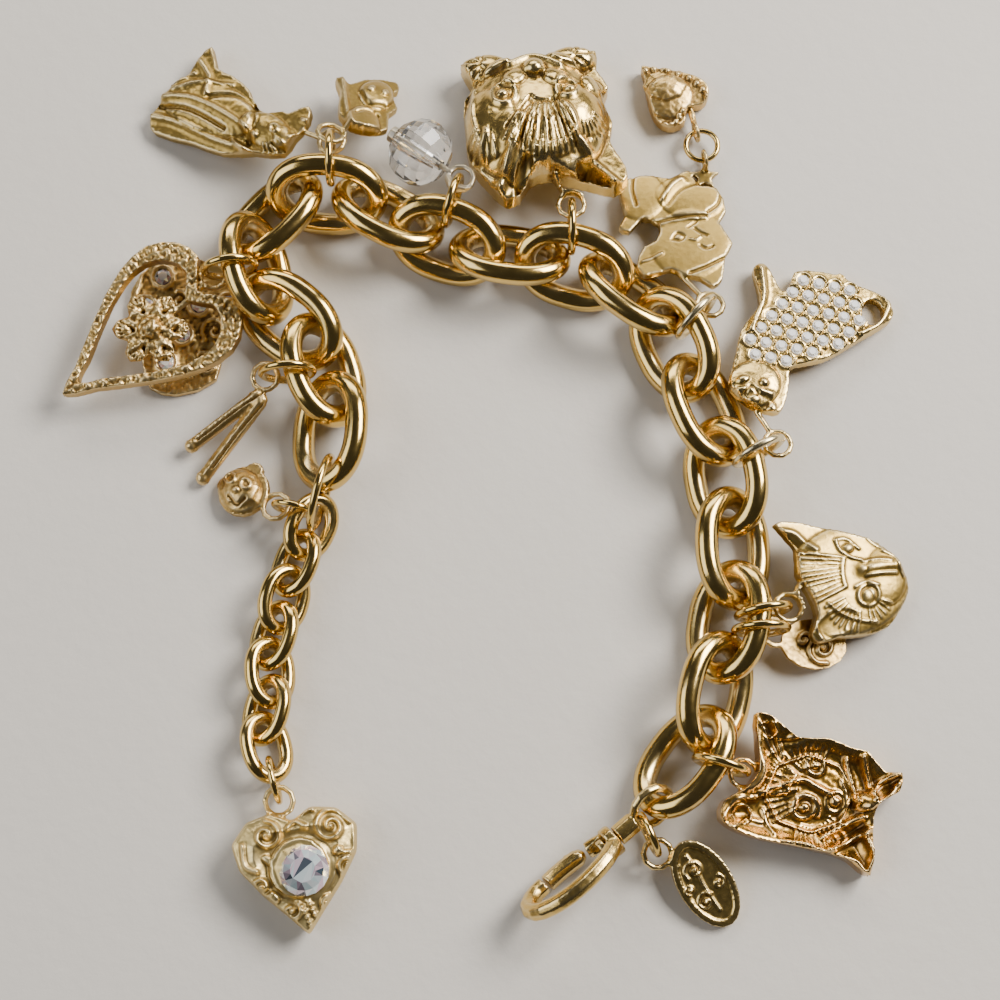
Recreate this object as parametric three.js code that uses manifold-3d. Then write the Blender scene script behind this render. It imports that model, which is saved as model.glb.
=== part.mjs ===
// Charm bracelet lying open in a U on a flat surface: chain of big oval links, charms on jump rings
// around its outer side, a swivel lobster clasp at one end, a small-link extender at the other.
// Millimetres, +Z up, +Y towards the bend of the U, z = 0 is the surface that it lies on.
import * as THREE from 'three';
import { mergeVertices } from 'three/addons/utils/BufferGeometryUtils.js';
import Module from 'manifold-3d';

const wasm = await Module();
wasm.setup();

// Sizes
const gap = 0.3; // clear space between pieces that hang in each other
const link = { length: 17.6, width: 12.6, wire: 3.2, around: 14, sides: 6, tilt: 35 };
const small = { length: 10.2, width: 7.6, wire: 2.0, around: 12, sides: 5, tilt: 34 };
const jump = { bore: 3.0, wire: 1.1, around: 12, sides: 5 };
const eye = { bore: 1.45, wire: 0.9, around: 10, sides: 5 };
const plate = 1.2; // thickness of a flat stamped charm
const cast = 1.6; // thickness of a cast charm's base

// Main chain from the clasp end: heading in degrees, slack against a fully drawn pitch, tilt share.
const chainStart = [19.9, -43.4];
const chainRoute = [
  [54, 1.0, 1.05], [76, 1.1, 1.15], [80, 0.9, 1], [90, 0.8, 1], [99, 1.2, 1], [111, 0.8, 1], [115, 1.0, 1.1],
  [142, 1.9, 1.2], [164, 1.8, 1.1], [172, 1.9, 1], [160, 1.9, 1], [150, 1.8, 1], [176, 1.9, 1.4],
  [229, 1.9, 1], [283, 1.9, 1.4], [321, 1.8, 1], [287, 2.0, 1], [267, 2.0, 1],
];
// The big ring before the extender. Its slack, as the extender's, is a share of the room in a small link.
const joiner = { bore: 4.5, wire: 1.1, around: 16, sides: 6, heading: 255, slack: 0.68 };
const smallRoom = small.length - 3 * small.wire - joiner.wire - 2 * gap;
// Extender: heading, slack.
const extenderRoute = [[246, 0.2], [252, 0.32], [256, 0.4], [256, 0.4], [275, 0.4], [258, 0.4], [285, 0.4]];

// Solids
function toSolid(geometry) {
  const bare = new THREE.BufferGeometry();
  bare.setAttribute('position', geometry.getAttribute('position'));
  if (geometry.index) bare.setIndex(geometry.index);
  const merged = mergeVertices(bare, 1e-4);
  return new wasm.Manifold(new wasm.Mesh({
    numProp: 3,
    vertProperties: new Float32Array(merged.getAttribute('position').array),
    triVerts: new Uint32Array(merged.index.array),
  }));
}

function fromSolid(solid) {
  const mesh = solid.getMesh();
  const geometry = new THREE.BufferGeometry();
  geometry.setAttribute('position', new THREE.BufferAttribute(mesh.vertProperties.slice(), mesh.numProp));
  geometry.setIndex(new THREE.BufferAttribute(mesh.triVerts.slice(), 1));
  return geometry;
}

const union = (...parts) => fromSolid(parts.flat().map(toSolid).reduce((all, one) => all.add(one)));
const cut = (body, ...tools) => fromSolid(tools.flat().map(toSolid)
  .reduce((rest, tool) => rest.subtract(tool), toSolid(body)));
const rad = THREE.MathUtils.degToRad;
const flat = (heading) => new THREE.Vector3(Math.cos(rad(heading)), Math.sin(rad(heading)), 0);

// Geometry moved so that its own x and y axes lie along two directions, its origin at a point.
function placed(geometry, at, xAxis, yAxis) {
  const x = xAxis.clone().normalize();
  const z = x.clone().cross(yAxis).normalize();
  const matrix = new THREE.Matrix4().makeBasis(x, z.clone().cross(x), z).setPosition(at);
  return geometry.clone().applyMatrix4(matrix);
}

// Closed oval of round wire, long axis x.
function oval(size) {
  const across = (size.width - size.wire) / 2;
  const stretch = (size.length - size.width) / 2;
  const geometry = new THREE.TorusGeometry(across, size.wire / 2, size.sides, size.around);
  const position = geometry.getAttribute('position');
  for (let i = 0; i < position.count; i++) {
    const turn = position.getX(i) / Math.hypot(position.getX(i), position.getY(i));
    position.setX(i, position.getX(i) + stretch * Math.sign(turn) * Math.abs(turn) ** 0.6);
  }
  return geometry;
}

// Point on the centreline of a laid link; turn is measured from its leading end.
function ovalPoint(laid, turn) {
  const across = (laid.size.width - laid.size.wire) / 2;
  const stretch = (laid.size.length - laid.size.width) / 2;
  const c = Math.cos(rad(turn));
  const x = across * c + stretch * Math.sign(c) * Math.abs(c) ** 0.6;
  return new THREE.Vector3(x, across * Math.sin(rad(turn)), 0).applyMatrix4(laid.matrix);
}

// Links along a route, laid on the surface, tilted to alternate sides.
function chain(size, start, route) {
  let joint = new THREE.Vector3(start[0], start[1], 0);
  return route.map(([heading, slack, share = 1], i) => {
    const along = flat(heading);
    const next = joint.clone().addScaledVector(along, size.length - 2 * size.wire - slack);
    const tilt = rad((i % 2 ? 1 : -1) * size.tilt * share);
    const left = new THREE.Vector3(-along.y * Math.cos(tilt), along.x * Math.cos(tilt), Math.sin(tilt));
    const centre = joint.clone().add(next).multiplyScalar(0.5);
    const geometry = placed(oval(size), centre, along, left);
    geometry.computeBoundingBox();
    const lift = -geometry.boundingBox.min.z;
    centre.z = lift;
    geometry.translate(0, 0, lift);
    const matrix = new THREE.Matrix4().makeBasis(along, left, along.clone().cross(left)).setPosition(centre);
    joint = next;
    return { size, geometry, matrix, heading, centre };
  });
}

const torus = (bore, wire, around, sides) => new THREE.TorusGeometry(bore + wire / 2, wire / 2, sides, around);
const eyeRing = () => torus(eye.bore, eye.wire, eye.around, eye.sides);

// Jump ring in a plane through a direction and a second one, around a wire point, and the points of
// its centreline where charms' eyes hang, by their turn below its far side.
function hang(wirePoint, wireRadius, out, options = {}) {
  const { drop = 60, eyeAt = 25, ring = jump, up = new THREE.Vector3(0, 0, 1) } = options;
  const o = flat(out);
  const reach = ring.bore - wireRadius - gap;
  const centre = wirePoint.clone().addScaledVector(o, reach * Math.cos(rad(drop)))
    .addScaledVector(up, -reach * Math.sin(rad(drop)));
  const radius = ring.bore + ring.wire / 2;
  const at = (turn) => centre.clone().addScaledVector(o, radius * Math.cos(rad(turn)))
    .addScaledVector(up, -radius * Math.sin(rad(turn)));
  const geometry = placed(torus(ring.bore, ring.wire, ring.around, ring.sides), centre, o, up);
  return { geometry, hold: at(eyeAt), at, centre };
}

// A charm modelled flat with its eye at the origin, tilted about the eye until its low end rests at a height.
function lay(geometry, hold, towards, rest = 0) {
  const position = geometry.getAttribute('position');
  const d = flat(towards);
  const side = new THREE.Vector3(-d.y, d.x, 0);
  const lowest = (tilt) => {
    let low = Infinity;
    for (let i = 0; i < position.count; i++) {
      const along = position.getX(i) * d.x + position.getY(i) * d.y;
      low = Math.min(low, hold.z + position.getZ(i) * Math.cos(tilt) - along * Math.sin(tilt));
    }
    return low;
  };
  let [low, high] = [-0.6, 1.2];
  for (let i = 0; i < 40; i++) {
    const middle = (low + high) / 2;
    if (lowest(middle) > rest) low = middle; else high = middle;
  }
  const turn = new THREE.Matrix4().makeRotationAxis(side, low).setPosition(hold);
  return { geometry: geometry.clone().applyMatrix4(turn), turn };
}

// Slab with a smooth closed outline through a few points, its middle plane at z = 0.
function slab(points, thickness, steps = 2) {
  const curve = new THREE.CatmullRomCurve3(points.map(([x, y]) => new THREE.Vector3(x, y, 0)), true);
  const ring = [];
  points.forEach((_, i) => {
    for (let k = 0; k < steps; k++) ring.push(curve.getPoint((i + k / steps) / points.length));
  });
  const shape = new THREE.Shape(ring.map((p) => new THREE.Vector2(p.x, p.y)));
  const geometry = new THREE.ExtrudeGeometry(shape, { depth: thickness, bevelEnabled: false });
  return geometry.translate(0, 0, -thickness / 2);
}

const disc = (x, y, rx, ry, thickness, around = 14, turn = 0) => {
  const geometry = new THREE.CylinderGeometry(1, 1, thickness, around).rotateX(Math.PI / 2);
  return geometry.scale(rx, ry, 1).rotateZ(rad(turn)).translate(x, y, 0);
};
const bump = (x, y, z, rx, ry, rz, turn = 0) => new THREE.SphereGeometry(1, 8, 6)
  .rotateX(Math.PI / 2).scale(rx, ry, rz).rotateZ(rad(turn)).translate(x, y, z);

// Cut stone with a table, eight crown facets and a pavilion.
const stone = (x, y, z, radius, height) => new THREE.LatheGeometry([
  [0, -height], [radius, 0], [radius * 0.62, height * 0.6], [0, height * 0.6],
].map(([r, h]) => new THREE.Vector2(r, h)), 8).rotateX(Math.PI / 2).translate(x, y, z);

// Heart outline with its notch at the origin side, pointing along +x before the turn.
function heartPoints(long, wide, turn = 0, scale = 1) {
  const half = [[0.1, 0], [-0.02, 0.2], [0.02, 0.38], [0.16, 0.5], [0.36, 0.47], [0.62, 0.3], [0.85, 0.11]];
  const ring = [...half, [1, 0], ...half.slice(1).reverse().map(([x, y]) => [x, -y])];
  return ring.map(([x, y]) => {
    const p = new THREE.Vector2(((x - 0.5) * scale + 0.5) * long, y * wide * scale);
    p.rotateAround(new THREE.Vector2(), rad(turn));
    return [p.x, p.y];
  });
}

// The chain, the big ring and the extender
const pieces = {};
const tints = {};
const add = (name, geometry, tint = 0xb08d45) => { pieces[name] = geometry; tints[name] = tint; };
const main = chain(link, chainStart, chainRoute);
main.forEach((one, i) => add(`link_${String(i + 1).padStart(2, '0')}`, one.geometry));

const chainTip = ovalPoint(main.at(-1), 0);
const joinerOut = flat(joiner.heading);
const joinerRise = joiner.bore + joiner.wire + 0.1;
const joinerReach = Math.sqrt((joiner.bore - link.wire / 2 - gap) ** 2 - (joinerRise - chainTip.z) ** 2);
const joinerCentre = chainTip.clone().addScaledVector(joinerOut, joinerReach).setZ(joinerRise);
const joinerUp = new THREE.Vector3(0, 0, 1);
add('extender_ring', placed(torus(joiner.bore, joiner.wire, joiner.around, joiner.sides), joinerCentre,
  joinerOut, joinerUp));
const extenderStart = joinerCentre.clone()
  .addScaledVector(joinerOut, joiner.bore - small.wire / 2 - gap - joiner.slack * smallRoom);
const tail = chain(small, extenderStart.toArray(),
  extenderRoute.map(([heading, share]) => [heading, share * smallRoom]));
tail.forEach((one, i) => add(`extender_link_${i + 1}`, one.geometry));

// Charms, each shape drawn from its eye at the origin, as it lies
// Round bar between two points.
function bar(from, to, radius, sides = 6) {
  const axis = to.clone().sub(from);
  const geometry = new THREE.CylinderGeometry(radius, radius, axis.length(), sides);
  const turn = new THREE.Quaternion().setFromUnitVectors(new THREE.Vector3(0, 1, 0), axis.clone().normalize());
  return geometry.applyQuaternion(turn).translate(...from.clone().add(to).multiplyScalar(0.5).toArray());
}
const v = (x, y, z = 0) => new THREE.Vector3(x, y, z);

// A charm's body set off from its eye, joined to it by a short bar.
function withEye(body, dx = 0, dy = 0, rootX = 0, rootY = 0) {
  const root = v(rootX + dx, rootY + dy);
  const start = root.clone().setLength(eye.bore + eye.wire / 2);
  const parts = [eyeRing(), body.clone().translate(dx, dy, 0)];
  if (root.distanceTo(start) > 0.2) parts.push(bar(start, root, eye.wire / 2));
  return union(...parts);
}

const faceRing = { bore: 2.2, wire: 0.9, around: 12, sides: 5 };
const openHeart = { long: 26.5, wide: 20, turn: 219, band: 0.8, thick: 2.2, setX: 0.1, setY: -0.8 };
const plateSet = { x: -1.3, y: 1.8 }; // the plate against its standing eye
const shapes = {
  reclining_cat: () => withEye(union(
    slab([[-14.1, 15.7], [-13.2, 12], [-10.7, 10.4], [-8, 7.8], [-7.3, 5.4], [-4.9, 3.5], [-1.6, 3.4],
      [1.2, 4.2], [1.2, 1.6], [-0.9, -1.2], [-2.5, -3.3], [-6.9, -2.6], [-11.7, -2.2], [-16.5, 0], [-22.4, 2.4],
      [-23.1, 4], [-21.2, 7.8], [-17.5, 11.3], [-16.1, 13.9]], cast),
    bump(-13, 5, cast / 2, 7.5, 3.6, 1.0, -12), bump(-4.0, 1.4, cast / 2, 3.0, 2.4, 0.9, 20),
    bump(-17, 2.6, cast / 2, 4.6, 1.2, 1.1, 155), bump(-9, 1.4, cast / 2, 2.4, 1.8, 0.8)), -4.6, 1.6, -1, 1),
  small_cat: () => withEye(union(
    slab([[-4, 11.9], [-1.9, 10.9], [0.2, 12.5], [5.1, 13.2], [5.4, 11.3], [4.2, 10], [5.1, 7.1], [3.7, 5.2],
      [3.5, 2], [1.6, 0.9], [-1.8, 0.9], [-3.6, 3.6], [-3.4, 8.4]], plate),
    bump(-1.2, 9, plate / 2, 1.8, 1.6, 0.7), bump(0.8, 4.8, plate / 2, 2.0, 3.0, 0.6)), 4.8, 0.6, -1, 2.4),
  paired_cats: () => withEye(union(
    slab([[-6.7, 14.8], [-5.2, 16.9], [-1.5, 17.6], [0.9, 17.2], [3.6, 18.7], [5, 15.9], [7.6, 15.6], [8.8, 11.7],
      [7.7, 9.7], [9.5, 6.3], [8.3, 4], [7.7, 0.2], [6.3, -1.1], [4.6, 0.2], [2.6, 0.6], [0.4, 1.6], [-3.3, 0.5],
      [-4.4, 2], [-3.2, 5.5], [-1.6, 6.3], [-1, 9.1], [-3.4, 10.1], [-5.3, 7.8], [-6.8, 8.4], [-5.9, 10.6]], plate),
    bump(3.9, 12.6, plate / 2, 3.6, 2.4, 0.5, 10), bump(3.6, 4.6, plate / 2, 3.4, 2.8, 0.5)), -5.8, 3.8, 1, 2),
  stone_cat: () => {
    const body = cut(slab([[-3.1, 5], [-3.2, 6.5], [-2.6, 8.7], [-1.9, 11.2], [-1.2, 14.1], [0.2, 16.3], [1.7, 18.5],
      [1.4, 21.8], [1.1, 24.3], [2, 25.1], [3.2, 24.6], [4.1, 22.7], [5.3, 20.4], [6.4, 22], [7, 23.8], [8.7, 24.2],
      [13.2, 23.6], [16, 22], [18.8, 20.9], [20.4, 19.4], [21, 17.8], [20.4, 16.5], [18.1, 14.8], [15.7, 13.3],
      [13.2, 11.6], [10.4, 10], [7.6, 9.3], [5.6, 8.6], [5.3, 6.5], [4.6, 3.4], [3.6, 1.6], [2, 1.6], [-0.4, 2.4]],
    cast), disc(17.9, 17.7, 1.5, 2.1, 4 * cast, 12, -10));
    // stone rows from the chest up: left end, right end, each row rising to the right
    const rows = [[4.3, 12], [2.5, 14.2], [1.2, 15.2], [2.1, 15.4], [6.2, 15.4], [6.9, 15.2], [8.3, 13.6]];
    const stones = rows.flatMap(([left, right], row) => {
      const count = Math.round((right - left) / 2.2);
      return [...Array(count + 1)].map((_, k) => left + (k * (right - left)) / count)
        .map((x) => stone(x, 9.6 + row * 1.85 + 0.2 * (x - 2), cast / 2, 0.86, 0.75));
    });
    return withEye(union(body, bump(1, 5, cast / 2, 2.8, 2.6, 0.9), ...stones), -3.2, 3.0, 0.4, 2);
  },
  cat_face_plaque: () => withEye(union(
    slab([[-2.1, 8], [0.7, 8.5], [4.1, 8], [8.3, 7.4], [12.7, 6.1], [15.7, 3.3], [17.2, 0], [15.8, -3.1],
      [13.9, -5.6], [10.4, -7], [6.3, -7.6], [3.6, -8.4], [2.5, -7.3], [3.4, -4.5], [2.4, -1.7], [0.9, 0.9],
      [0.9, 4.7]], cast),
    bump(8.6, 0.4, cast / 2, 6.4, 5.4, 1.6, -20), bump(13.4, 0.2, cast / 2, 2.8, 3.0, 1.5)), 0.4, 3.6, 2, 1),
  scroll_disc: () => withEye(union(disc(4.9, -0.4, 4.8, 3.5, plate), disc(4.9, -0.4, 3.2, 2.1, 1.6 * plate, 12)),
    0.6, -1, 1, 0),
  hollow_cat_head: () => {
    const shell = slab([[1.6, 6], [3.8, 5.4], [7.1, 2.7], [11.1, 2.7], [14.5, 1.4], [16.7, 0.9], [19, -1.8],
      [21.3, -1.8], [20.9, -4.4], [18.2, -5.8], [17.2, -7.8], [17, -11.8], [16.4, -15.7], [13.8, -13.7],
      [11.2, -12.8], [6.6, -11.8], [2.6, -11.1], [-0.7, -10.2], [-3.7, -8.4], [-3.2, -5.8], [-0.5, -4.4],
      [1.6, -1.8], [1.6, 1.6]], 3.2);
    return withEye(cut(shell, bump(8.6, -4.8, 1.9, 6.6, 5.6, 2.6), bump(3.2, 3.6, 1.9, 1.4, 1.4, 1.6),
      bump(-0.6, -7.6, 1.9, 1.6, 1.6, 1.6)), 0.2, 2.2, 3, -1);
  },
  cat_head: () => {
    const base = slab([[-12.9, 20.9], [-8.8, 22], [-5.2, 21.2], [0.7, 22.4], [7, 23.3], [7, 19.8], [8.7, 16.9],
      [7.8, 14.5], [9.2, 10.6], [8.7, 7.5], [10.3, 4.3], [11.2, 1.4], [9.2, -0.6], [5.6, 0.4], [2.7, 1.1],
      [0, 2], [-2.7, 1.1], [-4.2, -1.6], [-6.2, -2.3], [-9.1, 0.8], [-11.4, 4.3], [-12, 9], [-12.2, 14.5],
      [-10.9, 16.9]], 3);
    return withEye(union(base, bump(-1.6, 10.5, 1.2, 9.6, 8.0, 5.6), bump(-1, 7, 4.4, 4.4, 3.6, 3.2),
      bump(-9, 20, 1.2, 3.4, 1.8, 1.4, 5), bump(3.4, 21, 1.2, 3.4, 1.8, 1.4, 10), bump(8.6, 2.4, 1, 2.6, 2.4, 1.8, -30),
      bump(-6.4, 1.6, 1, 2.4, 2.6, 1.8, 20)), -3.1, 2.6, 0, 3);
  },
  stone_plate: () => {
    const stones = [[-8.8, -0.6], [-11.4, -4.4], [-3.6, -4.9], [0.9, -4.3], [-6, -8.7], [-8.3, -12.7]];
    return union(slab([[-13.6, -7.3], [-13.5, -2.8], [-10.8, 1.1], [-6.6, 2.6], [-2.9, 1.5], [0.4, 0.2],
      [1.8, -3.2], [0.9, -7.3], [-0.2, -11.8], [-0.9, -16.3], [-6.5, -18.6], [-10.3, -17.5], [-11.7, -12.6]], plate),
    ...stones.map(([x, y]) => stone(x, y, plate / 2, 1.3, 0.4)));
  },
  open_heart: () => {
    const { long, wide, turn, band, thick } = openHeart;
    const along = (share, side = 0) => v(share * long * Math.cos(rad(turn)) - side * Math.sin(rad(turn)),
      share * long * Math.sin(rad(turn)) + side * Math.cos(rad(turn)));
    const frame = cut(slab(heartPoints(long, wide, turn), thick), slab(heartPoints(long, wide, turn, band), 3 * thick));
    const middle = along(0.42);
    const petals = [0, 60, 120, 180, 240, 300].map((way) => bump(middle.x + 2.9 * Math.cos(rad(way)),
      middle.y + 2.9 * Math.sin(rad(way)), 0.2, 2.7, 1.9, 0.9, way));
    const root = along(0.17);
    return withEye(union(frame, ...petals, bump(middle.x, middle.y, 0.6, 1.9, 1.9, 1.3), bar(root, middle, 0.5)),
      openHeart.setX, openHeart.setY, root.x, root.y);
  },
  pronged_charm: () => withEye(union(
    bar(v(-1.2, -1.6), v(-10.6, -8.1), 1.0), bar(v(-0.4, -2.2), v(-9, -12.7), 1.0), bump(-1, -2, 0, 1.6, 1.6, 1.0),
    bump(-10.6, -8.1, 0, 1.1, 1.1, 1.1), bump(-9, -12.7, 0, 1.1, 1.1, 1.1)), -0.2, -1.2, -1, -2),
  round_face: () => withEye(union(disc(-4.8, 2.6, 3.7, 3.7, plate, 16), bump(-4.8, 2.6, plate / 2, 2.9, 2.9, 0.8),
    disc(-3.4, 5.6, 1.3, 1.2, plate, 8), disc(-7.6, 3.6, 1.2, 1.3, plate, 8))),
};

const charms = [
  // name, link, turn round the link, way out of the ring, way the charm lies, ring and lay options
  ['hollow_cat_head', 1, -78, -17, -25, {}],
  ['scroll_disc', 3, -93, 2, -5, { eyeAt: 50 }],
  ['cat_face_plaque', 3, -80, 10, 10, { eyeAt: 8 }],
  ['stone_cat', 5, -78, 27, 62, { drop: 0 }],
  ['paired_cats', 7, -80, 47, 80, {}],
  ['cat_head', 9, -82, 90, 95, { drop: 0, eyeAt: 10 }],
  ['reclining_cat', 13, -92, 90, 165, { drop: 0 }],
  ['open_heart', 15, -90, 189, 219, { eyeAt: 42, rest: 2.8 }],
  ['pronged_charm', 17, -90, 184, 225, { drop: 0 }],
];
const holds = {};
charms.forEach(([name, number, turn, out, towards, options]) => {
  const ring = hang(ovalPoint(main[number - 1], turn), link.wire / 2, out, options);
  const laid = lay(shapes[name](), ring.hold, towards, options.rest);
  holds[name] = { ring, out, laid };
  add(`ring_${name}`, ring.geometry);
  add(name, laid.geometry);
});

// The small cat hangs beside the reclining one, its eye higher on the same ring.
add('small_cat', lay(shapes.small_cat(), holds.reclining_cat.ring.at(-12), 60).geometry);

// The plate lies under the open heart, its standing eye in the same ring's lowest part.
{
  const { ring, out } = holds.open_heart;
  const lowest = ring.centre.clone().add(v(0, 0, -jump.bore - jump.wire / 2));
  const across = flat(out + 90);
  const base = shapes.stone_plate().translate(lowest.x + plateSet.x, lowest.y + plateSet.y, plate / 2);
  const loop = placed(eyeRing(), lowest, across, v(0, 0, 1));
  const foot = v(lowest.x, lowest.y, lowest.z - eye.bore - eye.wire / 2);
  add('stone_plate', union(base, loop, bar(foot, foot.clone().setZ(plate / 2), eye.wire / 2)), 0xa98f4f);
}

// Small round face on the extender's first link
{
  const small1 = tail[0];
  const ring = hang(ovalPoint(small1, -104), small.wire / 2, 168, { drop: 0, ring: faceRing, eyeAt: 20 });
  add('ring_round_face', ring.geometry);
  add('round_face', lay(shapes.round_face(), ring.hold, 150).geometry);
}

// Small heart on the far end of the paired cats
{
  const ringSize = { bore: 1.9, wire: 0.8, around: 12, sides: 5 };
  const radius = ringSize.bore + ringSize.wire / 2;
  const loop = { bore: 1.0, wire: 0.7, around: 10, sides: 5 };
  const cats = holds.paired_cats.laid;
  const top = v(0.2, 23.8, 0).applyMatrix4(cats.turn);
  const level = 2.0;
  const way = flat(100);
  const up = v(-way.y, way.x, 0);
  const loopAt = v(top.x, top.y, level);
  const centre = loopAt.clone().addScaledVector(way, radius);
  add('ring_small_heart', placed(torus(ringSize.bore, ringSize.wire, 12, 5), centre, way, up));
  const star = new THREE.Shape([...Array(10)].map((_, i) => new THREE.Vector2(0, i % 2 ? 1.0 : 2.3)
    .rotateAround(new THREE.Vector2(), rad(36 * i))));
  const starBody = new THREE.ExtrudeGeometry(star, { depth: 1.0, bevelEnabled: false })
    .translate(top.x, top.y - 2.2, 0.3);
  const standing = (at, along) => placed(torus(loop.bore, loop.wire, loop.around, loop.sides), at, along, v(0, 0, 1));
  pieces.paired_cats = union(cats.geometry, starBody, standing(loopAt, way));
  const far = centre.clone().addScaledVector(flat(110), radius);
  const notch = v(far.x - 0.4, far.y + 3.0, 1.4);
  const heart = slab(heartPoints(10.5, 9.4, 135), 2.2).translate(...notch.toArray());
  const dome = bump(notch.x - 4.0, notch.y + 4.0, 2.3, 3.4, 3.0, 1.0);
  const stem = bar(v(far.x - 0.2, far.y + loop.bore + 0.2, level - 0.1), v(notch.x - 0.4, notch.y + 1.4, 1.5), 0.5);
  add('small_heart', union(heart, dome, stem, standing(far.clone(), flat(105))));
}

// End heart on the extender
{
  const tip = ovalPoint(tail.at(-1), 0);
  const ringSize = { bore: 2.5, wire: 0.9 };
  const radius = ringSize.bore + ringSize.wire / 2;
  const way = flat(285);
  const centre = tip.clone().addScaledVector(way, ringSize.bore - small.wire / 2 - 3 * gap)
    .setZ(radius + ringSize.wire / 2 + 0.05);
  add('ring_end_heart', placed(torus(ringSize.bore, ringSize.wire, 12, 6), centre, way, v(0, 0, 1)));
  const hold = centre.clone().addScaledVector(way, radius);
  const heart = new THREE.ExtrudeGeometry(new THREE.Shape(heartPoints(13.2, 14.2, 280)
    .map(([x, y]) => new THREE.Vector2(x, y))), {
    depth: 1.2, bevelEnabled: true, bevelThickness: 1.6, bevelSize: 1.3, bevelSegments: 2, steps: 1,
  }).translate(1.8, -2.7, -0.6);
  const bezel = disc(3.0, -8.8, 3.9, 3.9, 5.6, 14);
  const body = union(eyeRing(), bar(v(0, -eye.bore - 0.3), v(1, -5.5), 0.6), heart, bezel,
    stone(3.0, -8.8, 2.7, 3.3, 1.3));
  add('end_heart', lay(body, hold, 277).geometry);
}

// Clasp: swivel eye with collar, hooked body, sprung lever
{
  const axis = flat(220);
  const lean = v(0, 0, Math.sin(rad(62))).addScaledVector(v(-axis.y, axis.x, 0), Math.cos(rad(62)));
  const eyeSize = { bore: 2.3, wire: 1.3 };
  const tip = ovalPoint(main[0], 180);
  const eyeCentre = tip.clone().addScaledVector(axis, eyeSize.bore - link.wire / 2 - gap).setZ(4.6);
  const neck = eyeSize.bore + eyeSize.wire * 0.6;
  const at = (s, t) => eyeCentre.clone().addScaledVector(axis, s).addScaledVector(lean, t);
  const eyeUp = v(0, 1, 0).transformDirection(main[0].matrix).cross(axis).normalize();
  add('clasp_eye', union(placed(torus(eyeSize.bore, eyeSize.wire, 14, 6), eyeCentre, axis, eyeUp),
    bar(at(neck, 0), at(neck + 3.0, 0), 1.5, 10), bar(at(neck + 2.6, 0), at(neck + 5.4, 0), 0.7, 8),
    bar(at(neck + 5.0, 0), at(neck + 6.0, 0), 1.3, 10)));
  const base = neck + 3.0 + gap;
  const path = new THREE.CatmullRomCurve3([[0.8, 1.4], [3.2, 3.2], [7, 4.3], [11, 4.0], [14.2, 1.8], [14.6, -1.0],
    [12.6, -2.9], [11.0, -3.1]].map(([s, t]) => at(base + s, t)));
  const section = new THREE.Shape([...Array(8)].map((_, i) => new THREE.Vector2(
    1.25 * Math.cos(rad(45 * i)), 1.25 * Math.sin(rad(45 * i)))));
  const back = new THREE.ExtrudeGeometry(section, { steps: 16, bevelEnabled: false, extrudePath: path });
  const bridge = bar(at(base, 0), at(base + 1.4, 0), 2.2, 12);
  const arm = new THREE.ExtrudeGeometry(section, { steps: 4, bevelEnabled: false,
    extrudePath: new THREE.CatmullRomCurve3([[0.8, -1.2], [2.2, -2.1], [3.7, -2.6]].map(([s, t]) => at(base + s, t))) });
  const hole = bar(at(base - 1, 0), at(base + 2.6, 0), 0.7 + gap, 10);
  add('clasp_body', union(cut(union(back, bridge, arm), hole, bar(at(base + 1.4, 0), at(base + 3.4, 0), 1.6, 12))));
  // the lever turns about its round rear end, where its pin sits
  const pivot = [5.3, -2.8];
  const lever = new THREE.ExtrudeGeometry(section, { steps: 6, bevelEnabled: false,
    extrudePath: new THREE.CatmullRomCurve3([pivot, [7.2, -3.1], [9.4, -3.1], [10.6, -2.9]]
      .map(([s, t]) => at(base + s, t))) });
  add('clasp_lever', union(lever, bump(0, 0, 0, 1.2, 1.2, 1.2).translate(...at(base + pivot[0], pivot[1]).toArray()),
    bump(0, 0, 0, 0.9, 0.9, 0.9).translate(...at(base + 6.4, -4.2).toArray())));
  // tag on its own ring round the swivel eye
  const tagRing = { bore: 2.3, wire: 1.0 };
  const radius = tagRing.bore + tagRing.wire / 2;
  const spoke = axis.clone().multiplyScalar(0.75).addScaledVector(eyeUp, eyeUp.z > 0 ? -0.66 : 0.66).normalize();
  const wirePoint = eyeCentre.clone().addScaledVector(spoke, eyeSize.bore + eyeSize.wire / 2);
  const way = flat(294);
  const centre = wirePoint.clone().addScaledVector(way, tagRing.bore - eyeSize.wire / 2 - gap);
  centre.z = Math.max(centre.z, radius + tagRing.wire);
  add('ring_tag', placed(torus(tagRing.bore, tagRing.wire, 12, 5), centre, way, v(0, 0, 1)));
  const hold = centre.clone().addScaledVector(way, radius * Math.cos(rad(14))).add(v(0, 0, -radius * Math.sin(rad(14))));
  const tag = { x: 6.4, y: -3.9, long: 6.4, wide: 3.7, turn: -57, border: 0.9 };
  const oval = disc(tag.x, tag.y, tag.long, tag.wide, plate, 20, tag.turn);
  const rim = disc(tag.x, tag.y, tag.long - tag.border, tag.wide - tag.border, plate, 20, tag.turn);
  const face = cut(oval, rim.translate(0, 0, plate * 0.8));
  add('oval_tag', lay(union(eyeRing(), face, bar(v(1.5, -1.0), v(2.8, -1.8), 0.6)), hold, 292).geometry);
}

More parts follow.
